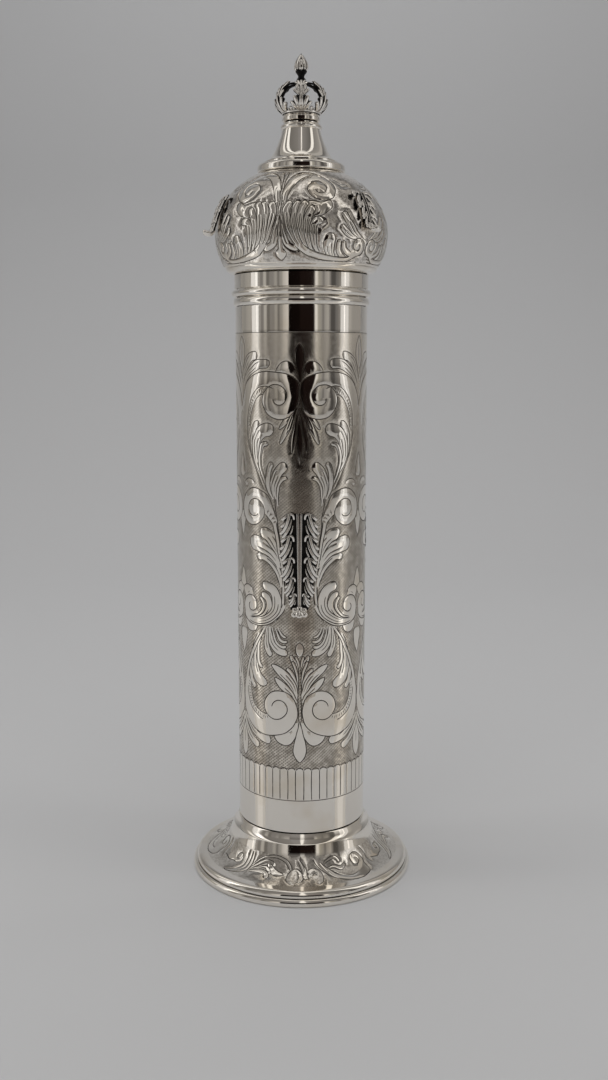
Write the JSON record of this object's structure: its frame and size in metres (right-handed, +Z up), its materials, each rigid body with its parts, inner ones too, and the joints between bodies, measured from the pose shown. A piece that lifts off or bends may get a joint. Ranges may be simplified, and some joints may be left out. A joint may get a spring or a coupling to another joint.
{
  "type": "megillah case",
  "caption": "Tall tubular silver scroll case on a flared foot, with engraved scrollwork, applied cast leaves and a lift-off domed lid topped by an open crown and a bud.",
  "frame": {"origin": "centre of the foot's underside, on the surface that the case stands on", "axes": "+Z up along the tube's axis; -Y is the front, where the first leaf on the tube sits; +X to the right"},
  "size_m": [0.112, 0.1114, 0.4],
  "materials": {
    "polished_silver": "mirror polished sterling silver",
    "engraved_silver": "polished sterling silver, engraved, with a matted ground between the ornament",
    "chased_silver": "polished sterling silver with chased relief and dark hollows",
    "oxidised_cast_silver": "cast silver, blackened in the hollows and polished on the high places"
  },
  "bodies": {
    "root": {"foot_rim": "polished_silver", "foot": "chased_silver", "case_tube": "engraved_silver", "mouth_bead": "polished_silver", "case_leaf_1": "oxidised_cast_silver", "case_leaf_2": "oxidised_cast_silver", "case_leaf_3": "oxidised_cast_silver", "lid_band": "polished_silver", "lid_bead": "polished_silver", "lid_dome": "chased_silver", "lid_leaf_1": "oxidised_cast_silver", "lid_leaf_2": "oxidised_cast_silver", "lid_leaf_3": "oxidised_cast_silver", "lid_disc": "polished_silver", "lid_neck": "polished_silver", "neck_collar": "polished_silver", "crown": "oxidised_cast_silver", "bud_finial": "oxidised_cast_silver"}
  },
  "joints": []
}
